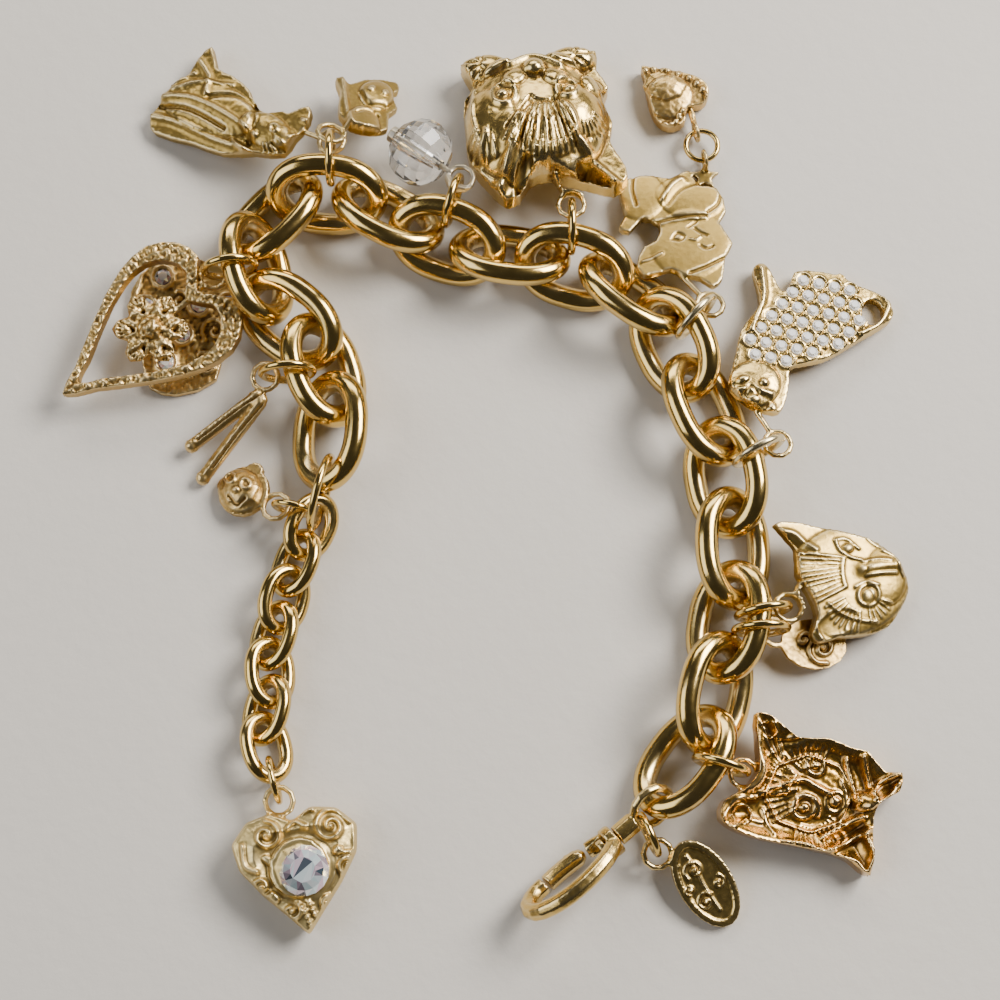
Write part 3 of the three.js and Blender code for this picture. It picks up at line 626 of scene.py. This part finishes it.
def hollow_head():
    """Inside of a thin cast head with a rim all round."""
    return moved(6, -5, [
        (ridge, [(756, 728), (761, 742), (771, 758)], 4, 0.55), (ridge, [(768, 728), (775, 745), (780, 762)], 4, 0.5),
        (ridge, [(778, 746), (787, 746), (796, 744)], 4, -0.35), (dome, 785, 736, 9, 5, 30, -0.3),
        (ridge, [(757, 798), (775, 790), (795, 785), (810, 793), (824, 800)], 6, 0.7), (ridge, [(772, 797), (790, 795)], 3, 0.4),
        (bezel, 797, 812, 11, 2.6, 0.5), (dome, 797, 813, 6, 5, 0, 0.75), (ridge, [(806, 803), (812, 812), (811, 822)], 3, 0.45),
        (bezel, 809, 771, 9, 2.4, 0.5), (dome, 809, 770, 5, 5, 0, 0.6), (dome, 829, 807, 7, 6, 0, 0.8), (bezel, 829, 807, 10, 2.0, 0.3),
        (dome, 815, 790, 40, 34, 0, 0.5), (ridge, [(836, 786), (842, 806), (836, 824)], 5, 0.4),
        (ridge, [(760, 814), (764, 828), (770, 838)], 4, 0.5), (ridge, [(718, 822), (732, 804), (752, 803)], 5, 0.6),
        (ridge, [(726, 832), (742, 824), (758, 826)], 6, 0.4), (ridge, [(780, 846), (800, 848), (816, 856)], 5, 0.4),
        (ridge, [(842, 764), (847, 785), (853, 806)], 5, 1.1), (ridge, [(858, 762), (865, 785), (870, 803)], 5, 1.0),
        (ridge, [(868, 796), (880, 785), (894, 778)], 5, 1.0), (ridge, [(872, 808), (884, 800), (893, 788)], 4, 0.9),
        (dome, 860, 806, 12, 11, 0, 1.4), (ridge, [(818, 842), (838, 831), (858, 822)], 7, 1.1),
        (ridge, [(822, 855), (842, 848), (862, 836)], 7, 1.1), (ridge, [(860, 840), (867, 858), (862, 876)], 5, 1.0),
        (ridge, [(836, 862), (850, 866), (858, 876)], 4, 0.8), (ridge, [(830, 846), (846, 839), (860, 829)], 3, -0.5),
    ], fan(806, 800, 26, 58, 128, 178, 12, 2.8, 0.4), fan(806, 792, 20, 42, 60, 122, 8, 2.6, 0.3),
        fan(806, 812, 20, 46, -120, -30, 10, 2.8, 0.3), fan(812, 800, 24, 50, 150, 210, 8, 2.4, 0.25))


def plaque_face():
    return moved(14, 5, [
        (dome, 836, 575, 66, 56, 20, 1.1), (dome, 870, 572, 22, 30, 0, 0.5), (ridge, [(846, 566), (862, 563), (878, 562)], 13, 0.55),
        (ridge, [(845, 559), (858, 557), (872, 558)], 2.6, 0.3), (ridge, [(848, 573), (862, 571), (878, 570)], 2.6, 0.3),
        (ridge, [(865, 548), (876, 554), (881, 564), (886, 573)], 3, 0.3), (ridge, [(872, 543), (884, 556), (890, 572)], 3, -0.25),
        (dome, 831, 545, 6, 5, 20, 0.45), (ridge, [(819, 537), (823, 547), (833, 554), (844, 557)], 2.4, 0.32),
        (ridge, [(820, 536), (830, 536), (842, 546)], 2.4, 0.25), (dome, 851, 593, 7, 8, 0, 0.5), (bezel, 851, 592, 10, 1.8, 0.3),
        (ridge, [(838, 584), (848, 579), (860, 582)], 2.6, 0.3), (ridge, [(760, 526), (778, 528), (790, 538), (800, 546)], 6, 0.4),
        (ridge, [(766, 532), (778, 538), (790, 548)], 4, -0.35), (dome, 822, 618, 20, 11, 20, -0.35),
        (ridge, [(798, 606), (800, 622), (808, 634)], 4, 0.35), (ridge, [(812, 600), (822, 608), (842, 616), (862, 618)], 3, 0.25),
        (ridge, [(846, 530), (856, 540), (866, 546)], 2.4, 0.2), (ridge, [(852, 526), (864, 536), (876, 548)], 2.4, -0.2),
    ], fan(872, 566, 46, 92, 166, 202, 12, 2.6, 0.26), fan(872, 566, 50, 88, 168, 200, 9, 1.8, -0.24),
        fan(846, 588, 20, 40, 200, 262, 8, 2.2, 0.2), fan(851, 592, 12, 26, -84, -20, 6, 2.0, 0.16))


def lying_cat():
    return moved(5, 0, [
        (dome, 205, 108, 52, 26, -18, 1.3), (dome, 262, 132, 26, 18, -25, 1.2), (dome, 282, 140, 12, 12, 0, 0.6),
        (ridge, [(196, 62), (205, 78), (204, 96)], 6, 0.5), (ridge, [(152, 98), (190, 102), (228, 120), (252, 138)], 6, 0.6),
        (ridge, [(140, 116), (170, 122), (205, 138), (240, 150)], 8, 0.8), (ridge, [(150, 106), (185, 112), (220, 130)], 4, -0.6),
        (ridge, [(170, 92), (200, 84), (228, 86)], 5, 0.45), (ridge, [(206, 100), (232, 98), (252, 108)], 4, -0.4),
        (ridge, [(250, 108), (250, 126), (242, 146)], 5, -0.5), (bezel, 272, 132, 4, 1.8, 0.45), (bezel, 291, 141, 4, 1.8, 0.45),
        (ridge, [(268, 146), (280, 152), (290, 150)], 3, -0.4), (ridge, [(298, 120), (306, 122), (312, 124)], 5, 0.5),
        (ridge, [(160, 92), (176, 82), (190, 74)], 5, 0.4), (ridge, [(228, 140), (238, 150), (252, 154)], 5, 0.5),
    ], fan(262, 132, 14, 26, -100, -40, 5, 2.0, 0.3))


def little_cat():
    return moved(0, -10, [
        (dome, 362, 140, 18, 24, 0, 1.0), (dome, 376, 106, 18, 14, -10, 1.1), (ridge, [(342, 90), (345, 112), (350, 140)], 7, 0.6),
        (ridge, [(360, 104), (368, 116), (384, 118)], 3, -0.4), (ridge, [(356, 124), (366, 122), (378, 126)], 3, -0.35),
        (dome, 370, 104, 4, 3, 0, 0.35), (dome, 384, 108, 4, 3, 0, 0.35), (ridge, [(352, 150), (362, 158), (376, 156)], 4, 0.4),
    ])


def two_cats():
    return [
        (ridge, [(634, 172), (632, 190), (636, 206)], 2.4, -0.3), (ridge, [(662, 200), (674, 184), (694, 174)], 4.5, 0.4),
        (ridge, [(668, 204), (680, 190), (698, 182)], 5, -0.2), (ridge, [(652, 224), (676, 218), (706, 216)], 3, -0.35),
        (ridge, [(652, 227), (680, 221), (706, 219)], 2.6, 0.25), (ridge, [(690, 273), (706, 267), (724, 258)], 2.6, -0.35),
        (ridge, [(642, 262), (652, 259), (662, 254)], 2.6, 0.3), (ridge, [(708, 212), (718, 204), (722, 190)], 2.6, -0.3),
        (dome, 690, 244, 40, 34, 0, 0.3), (dome, 690, 198, 34, 22, -10, 0.35), (dome, 640, 196, 26, 24, 0, 0.35),
        (ridge, [(672, 240), (677, 234), (684, 237), (680, 241), (673, 240)], 2, -0.22), (ridge, [(694, 229), (700, 233), (707, 236)], 2, -0.22),
        (ridge, [(700, 246), (706, 249), (713, 247)], 2, -0.22), (ridge, [(688, 228), (694, 224), (699, 219)], 2, -0.2),
        (ridge, [(690, 240), (696, 241), (700, 238)], 2, 0.2),
    ]


def stone_set_cat(spots):
    rows = moved(-1, -1, [
        (dome, 754, 386, 28, 24, 10, 0.9), (dome, 743, 383, 7, 4, 10, 0.5), (dome, 764, 386, 5, 4, -10, 0.5),
        (ridge, [(736, 394), (750, 392), (772, 397)], 6, 0.35), (dome, 754, 403, 7, 5, 0, 0.4), (dome, 773, 410, 5, 7, 0, 0.5),
        (ridge, [(762, 270), (764, 300), (752, 330)], 8, 0.6), (ridge, [(880, 288), (890, 305), (880, 325), (862, 335)], 6, 0.5),
        (ridge, [(744, 398), (750, 390), (758, 396)], 3, -0.35), (dome, 738, 404, 7, 6, 0, 0.5),
    ])
    return rows + [(bezel, x, y, 7.4, 1.4, 0.2) for x, y in spots] + [
        (dome, x + 7.7, y + 1.6, 1.8, 1.8, 0, 0.45) for x, y in spots] + [(dome, x + 2.6, y + 7.4, 1.8, 1.8, 0, 0.45) for x, y in spots]


def ornate_heart():
    h, w = 0.75, 4.2
    rows = moved(-1, 4, scroll(267, 832, 15, 1.7, 200, 1, h, w), scroll(332, 822, 19, 1.9, 340, -1, h, w),
                 scroll(350, 861, 11, 1.4, 90, 1, h, w), scroll(329, 900, 13, 1.5, 60, -1, h, w),
                 scroll(263, 883, 12, 1.5, 150, 1, h, w), scroll(293, 907, 10, 1.4, 270, 1, h, w), [
        (ridge, [(243, 842), (246, 862), (258, 868)], w, h), (ridge, [(252, 898), (268, 905), (282, 918), (300, 928)], w, h * 0.7),
        (ridge, [(357, 832), (356, 846), (345, 848)], w, h), (ridge, [(352, 878), (344, 892), (336, 914), (322, 926)], w, h * 0.8),
        (ridge, [(281, 812), (290, 806), (304, 808), (314, 802)], w, h), (ridge, [(288, 824), (296, 818), (306, 822)], w, h * 0.8),
        (dome, 270, 857, 8, 5, -40, h), (dome, 339, 846, 6, 5, 30, h), (dome, 276, 894, 5, 6, 30, h),
    ], beads_along([(309, 896), (315, 908), (321, 920)], 6, 2.6, 0.6), beads_along([(304, 902), (309, 913), (313, 922)], 5, 2.4, 0.6),
        beads_along([(253, 815), (266, 808), (280, 806)], 5, 2.4, 0.5), beads_along([(314, 806), (330, 800), (344, 805)], 5, 2.4, 0.5))
    return rows + [(bezel, 302, 869, 31, 3.0, 0.3)]


def tag_scrolls():
    """A plain flourish of the kind stamped on such tags, with no letters."""
    return moved(14, -6, scroll(680, 876, 11, 1.5, 60, 1, 0.28, 2.4), scroll(692, 908, 10, 1.5, 240, -1, 0.28, 2.4),
                 [(ridge, [(672, 862), (682, 876), (690, 892), (706, 916)], 2.6, 0.25)],
                 scroll(704, 888, 8, 1.2, 20, 1, 0.22, 2.2), scroll(676, 896, 6, 1.2, 200, 1, 0.22, 2.2))


PLATE_STONES = [(163, 277), (146, 306), (199, 305), (229, 303), (182, 334), (166, 362)]
CAT_REGION = [(781, 296), (797, 270), (850, 276), (862, 290), (863, 325), (848, 346), (800, 368), (778, 370),
              (746, 350), (742, 334), (760, 318)]


# ---- operators ----
class BRACELET_OT_finishes(bpy.types.Operator):
    """Makes the metal and glass finishes"""

    bl_idname = "bracelet.finishes"
    bl_label = "Finishes"

    def execute(self, context):
        look = context.scene.bracelet_finish
        wire_finish("link_wire", look, 0.10)
        wire_finish("ring_wire", look, 0.10)
        wire_finish("silver_wire", look, 0.18, tuple(look.pale))
        cast_finish("polished_cast", look, tuple(look.gold), 0.14, 0.95)
        cast_finish("bright_cast", look, (0.82, 0.63, 0.27), 0.26, 0.6)
        # satin finish whose colour is set darker than the gold: painted shade standing in for the dark room that the
        # flat tops reflect
        cast_finish("satin_cast_painted_shade", look, (0.47, 0.32, 0.09), 0.24, 0.7)
        cast_finish("antique_cast", look, (0.66, 0.44, 0.15), 0.26, 1.15)
        cast_finish("amber_cast", look, tuple(look.amber), 0.12, 0.9, coat=0.6)
        cast_finish("dark_wire", look, (0.46, 0.42, 0.36), 0.3, 0.6)
        # the four tints of each stone are painted glints and shade for its facets
        stone_finish("clear_stone", ((0.97, 0.96, 0.95), (0.90, 0.89, 0.86), (0.98, 0.98, 0.98), (0.66, 0.62, 0.56)), 0.0)
        stone_finish("rainbow_stone", ((0.95, 0.97, 1.0), (0.62, 0.80, 0.84), (0.86, 0.62, 0.74), (0.05, 0.09, 0.12)), 0.45)
        glass_finish("bead_glass")
        return {"FINISHED"}


class BRACELET_OT_chain(bpy.types.Operator):
    """Lays smooth oval links where the big chain and the extender are"""

    bl_idname = "bracelet.chain"
    bl_label = "Chain and extender"

    def execute(self, context):
        gold = bpy.data.materials["link_wire"]
        for node in sorted(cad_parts):
            if node.startswith("link_"):
                loop_piece(node, 4.7 * MM, 3.2 * MM, gold, 72, 24, 2.5 * MM)
            elif node.startswith("extender_link"):
                loop_piece(node, 2.8 * MM, 2.0 * MM, gold, 56, 18, 1.3 * MM)
        return {"FINISHED"}


class BRACELET_OT_rings(bpy.types.Operator):
    """Bends the jump rings and the big ring from round wire"""

    bl_idname = "bracelet.rings"
    bl_label = "Jump rings"

    def execute(self, context):
        gold = bpy.data.materials["ring_wire"]
        # radius of the centreline and wire, in millimetres
        others = {"ring_round_face": (2.65, 0.9), "ring_small_heart": (2.3, 0.8), "ring_end_heart": (2.95, 0.9),
                  "ring_tag": (2.8, 1.0), "extender_ring": (5.05, 1.1)}
        for node in sorted(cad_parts):
            if node.startswith("ring_") or node == "extender_ring":
                radius, wire = others.get(node, (3.55, 1.1))
                silver = node in ("ring_paired_cats", "ring_stone_cat")
                loop_piece(node, radius * MM, wire * MM, bpy.data.materials["silver_wire"] if silver else gold,
                           48, 14)
        return {"FINISHED"}


class BRACELET_OT_cats(bpy.types.Operator):
    """Casts the cat charms with their relief"""

    bl_idname = "bracelet.cats"
    bl_label = "Cat charms"

    def execute(self, context):
        gold, satin_painted_shade = bpy.data.materials["polished_cast"], bpy.data.materials["satin_cast_painted_shade"]
        casting("cat_head", "big_cat_head", gold, big_head(), thick=3.0, voxel=0.24 * MM, roughen=0.04)
        casting("hollow_cat_head", "hollow_cat_shell", bpy.data.materials["amber_cast"], hollow_head(),
                voxel=0.22 * MM, rounding=12, roughen=0.05, profile=(3.0, 1.3, 1.5), keep=((746, 769, 19),))
        casting("cat_face_plaque", "cat_face_relief", satin_painted_shade, plaque_face(), thick=1.6, roughen=0.02)
        casting("reclining_cat", "lying_cat", satin_painted_shade, lying_cat(), thick=1.6, roughen=0.05)
        casting("small_cat", "little_cat", satin_painted_shade, little_cat(), thick=1.2, voxel=0.17 * MM, roughen=0.03)
        casting("paired_cats", "two_cats", satin_painted_shade, two_cats(), thick=1.2, voxel=0.18 * MM, roughen=0.01,
                keep=((700, 160, 22),))
        spots = lattice(CAT_REGION, 15.8, 12)
        cat = casting("stone_cat", "stone_set_cat", gold, stone_set_cat(spots), thick=1.6, roughen=0.03)
        spots = carried(cat, spots, 5.0)
        cut_stone("cat_stones", on_charm(cat, spots, 1.75), context.scene.bracelet_sizes.setting,
                  bpy.data.materials["clear_stone"])
        return {"FINISHED"}


class BRACELET_OT_hearts(bpy.types.Operator):
    """Casts the hearts, the stone-set plate and the small antique charms"""

    bl_idname = "bracelet.hearts"
    bl_label = "Hearts and antique charms"

    def execute(self, context):
        antique, gold = bpy.data.materials["antique_cast"], bpy.data.materials["polished_cast"]
        petals = [f for k in range(6) for f in fan(153 + 18 * math.cos(k * math.pi / 3), 329 - 18 * math.sin(k * math.pi / 3),
                                                   2, 17, 60 * k - 30, 60 * k + 30, 5, 2.0, -0.5)]
        casting("open_heart", "granulated_heart", antique, petals + [(dome, 153, 329, 10, 10, 0, 0.5)],
                roughen=0.3, soften=4)
        plate = casting("stone_plate", "filigree_plate", antique, [
            (bezel, x, y, 10.5, 2.2, 0.45) for x, y in PLATE_STONES] + scroll(215, 330, 14, 1.5, 40, 1) + scroll(150, 335, 12, 1.4, 200, -1)
            + scroll(205, 365, 13, 1.5, 300, 1) + scroll(180, 300, 10, 1.3, 0, 1) + [
            (ridge, [(134, 300), (150, 262), (190, 256), (236, 272)], 4, 0.4)], thick=1.2, roughen=0.12,
            keep=((232, 268, 22),))
        cut_stone("plate_stones", on_charm(plate, PLATE_STONES, 1.35), 1.35 * MM, bpy.data.materials["rainbow_stone"])
        casting("pronged_charm", "grooved_prongs", antique, [
            (ridge, [(262, 392), (235, 410), (196, 440)], 2.5, -0.5), (ridge, [(268, 398), (240, 430), (212, 468)], 2.5, -0.5)],
            voxel=0.16 * MM, roughen=0.08)
        casting("round_face", "round_cat_face", antique, moved(-16, 18, [
            (dome, 256, 473, 22, 22, 0, 0.9), (bezel, 248, 462, 5, 1.6, 0.4), (bezel, 264, 468, 5, 1.6, 0.4),
            (ridge, [(246, 480), (254, 488), (262, 482)], 3, -0.4), (dome, 254, 474, 4, 3, 0, 0.4)]),
            voxel=0.17 * MM, roughen=0.05)
        casting("scroll_disc", "scroll_disc_relief", antique, moved(4, 0, scroll(818, 648, 16, 1.8, 0, 1),
                scroll(800, 640, 8, 1.2, 90, -1)), thick=1.2, voxel=0.17 * MM, roughen=0.04)
        casting("small_heart", "antique_small_heart", antique, moved(3, 3, [
            (dome, 666, 94, 24, 22, 0, 0.8)], beads_along([(634, 70), (660, 66), (690, 78), (704, 96), (694, 110)], 14, 3.2, 0.5),
            beads_along([(632, 74), (632, 100), (648, 118), (668, 122), (680, 110)], 13, 3.2, 0.5)),
            voxel=0.15 * MM, roughen=0.06, keep=((698, 137, 11),))
        heart = casting("end_heart", "scrolled_end_heart", bpy.data.materials["bright_cast"], ornate_heart(),
                        voxel=0.17 * MM, rounding=50, roughen=0.03, profile=(3.9, 5.0, 1.8),
                        keep=((281, 797, 17), (302, 869, 30)))
        lift = Vector(heart["lift"])
        tops = [p for p in node_points("end_heart") if p @ np.array(lift) - heart["level"] > 6.15 * MM]
        middle = Vector(np.mean(tops, axis=0)) if tops else Vector(reached(303, 870, lift, lift * (heart["level"] + 6.2 * MM)))
        cut_stone("end_crystal", [(middle - lift * 0.75 * MM, lift)], 3.35 * MM, bpy.data.materials["rainbow_stone"],
                  facets=16, table_shade=None)
        return {"FINISHED"}


class BRACELET_OT_clasp(bpy.types.Operator):
    """Casts the swivel clasp and the oval tag"""

    bl_idname = "bracelet.clasp"
    bl_label = "Clasp and tag"

    def execute(self, context):
        gold = bpy.data.materials["polished_cast"]
        casting("clasp_eye", "swivel_eye", gold, voxel=0.16 * MM)
        casting("clasp_body", "clasp_hook", gold, voxel=0.18 * MM, body="clasp_hook")
        casting("clasp_lever", "sprung_lever", gold, voxel=0.16 * MM, body="clasp_lever")
        casting("oval_tag", "oval_tag_relief", gold, tag_scrolls(), voxel=0.15 * MM, roughen=0.01)
        return {"FINISHED"}


class BRACELET_OT_bead(bpy.types.Operator):
    """Finishes the glass bead and the pin that it is threaded on"""

    bl_idname = "bracelet.bead"
    bl_label = "Glass bead"

    def execute(self, context):
        casting("bead_pin", "bead_pin_wire", bpy.data.materials["dark_wire"], voxel=0.14 * MM)
        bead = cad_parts["glass_bead"]
        bead.data.materials.clear()
        bead.data.materials.append(bpy.data.materials["bead_glass"])
        return {"FINISHED"}


class BRACELET_OT_stage(bpy.types.Operator):
    """Sets the pale surface, the soft light and the camera"""

    bl_idname = "bracelet.stage"
    bl_label = "Surface, light and camera"

    def execute(self, context):
        sizes = context.scene.bracelet_sizes
        bpy.ops.object.select_all(action="DESELECT")
        bpy.ops.mesh.primitive_plane_add(size=1.6, location=(0, 0, -0.02 * MM))
        floor = context.object
        floor.name = "pale_surface"
        bpy.ops.object.transform_apply(location=True)
        floor.data.materials.append(surface_finish(sizes))
        lights = (
            ("window", (0.46, 0.26, 0.46), 0.42, 0.30, sizes.key * 1.25, (1.0, 0.96, 0.91)),
            ("room_fill", (-0.60, -0.05, 0.45), 0.6, 0.5, sizes.key * 0.34, (0.94, 0.96, 1.0)),
            ("far_wall", (-0.05, 0.85, 0.50), 0.9, 0.3, sizes.key * 0.6, (1.0, 0.97, 0.93)),
        )
        for name, place, wide, deep, power, colour in lights:
            data = bpy.data.lights.new(name, "AREA")
            data.shape, data.size, data.size_y, data.energy, data.color = "RECTANGLE", wide, deep, power, colour
            lamp = bpy.data.objects.new(name, data)
            lamp.location = place
            lamp.rotation_euler = (-Vector(place)).to_track_quat("-Z", "Y").to_euler()
            context.scene.collection.objects.link(lamp)
        world = bpy.data.worlds.new("room")
        world.use_nodes = True
        world.node_tree.nodes["Background"].inputs["Color"].default_value = (0.80, 0.79, 0.77, 1)
        world.node_tree.nodes["Background"].inputs["Strength"].default_value = 0.06
        context.scene.world = world
        data = bpy.data.cameras.new("photo_view")
        data.sensor_width = 36
        data.lens = 36 * DISTANCE / ACROSS
        data.clip_start = 0.01
        camera = bpy.data.objects.new("photo_view", data)
        camera.location = Vector(EYE)
        camera.rotation_euler = (math.pi / 2 - ELEVATION, 0, 0)
        context.scene.collection.objects.link(camera)
        context.scene.camera = camera
        return {"FINISHED"}


class BRACELET_PT_panel(bpy.types.Panel):
    """Lists the steps that dress the bracelet"""

    bl_idname = "BRACELET_PT_panel"
    bl_label = "Charm bracelet"
    bl_space_type = "VIEW_3D"
    bl_region_type = "UI"
    bl_category = "Bracelet"

    def draw(self, context):
        for group in (context.scene.bracelet_finish, context.scene.bracelet_sizes):
            for key in group.__annotations__:
                self.layout.prop(group, key)
        for step in STEPS:
            self.layout.operator(step.bl_idname)


STEPS = (BRACELET_OT_finishes, BRACELET_OT_chain, BRACELET_OT_rings, BRACELET_OT_cats, BRACELET_OT_hearts,
         BRACELET_OT_clasp, BRACELET_OT_bead, BRACELET_OT_stage)
CLASSES = (BraceletFinish, BraceletSizes, *STEPS, BRACELET_PT_panel)


def register():
    for cls in CLASSES:
        bpy.utils.register_class(cls)
    bpy.types.Scene.bracelet_finish = PointerProperty(type=BraceletFinish)
    bpy.types.Scene.bracelet_sizes = PointerProperty(type=BraceletSizes)


def unregister():
    del bpy.types.Scene.bracelet_sizes
    del bpy.types.Scene.bracelet_finish
    for cls in reversed(CLASSES):
        bpy.utils.unregister_class(cls)


def main():
    register()
    bpy.ops.bracelet.finishes()
    bpy.ops.bracelet.chain()
    bpy.ops.bracelet.rings()
    bpy.ops.bracelet.cats()
    bpy.ops.bracelet.hearts()
    bpy.ops.bracelet.clasp()
    bpy.ops.bracelet.bead()
    bpy.ops.bracelet.stage()


if __name__ == "__main__":
    main()
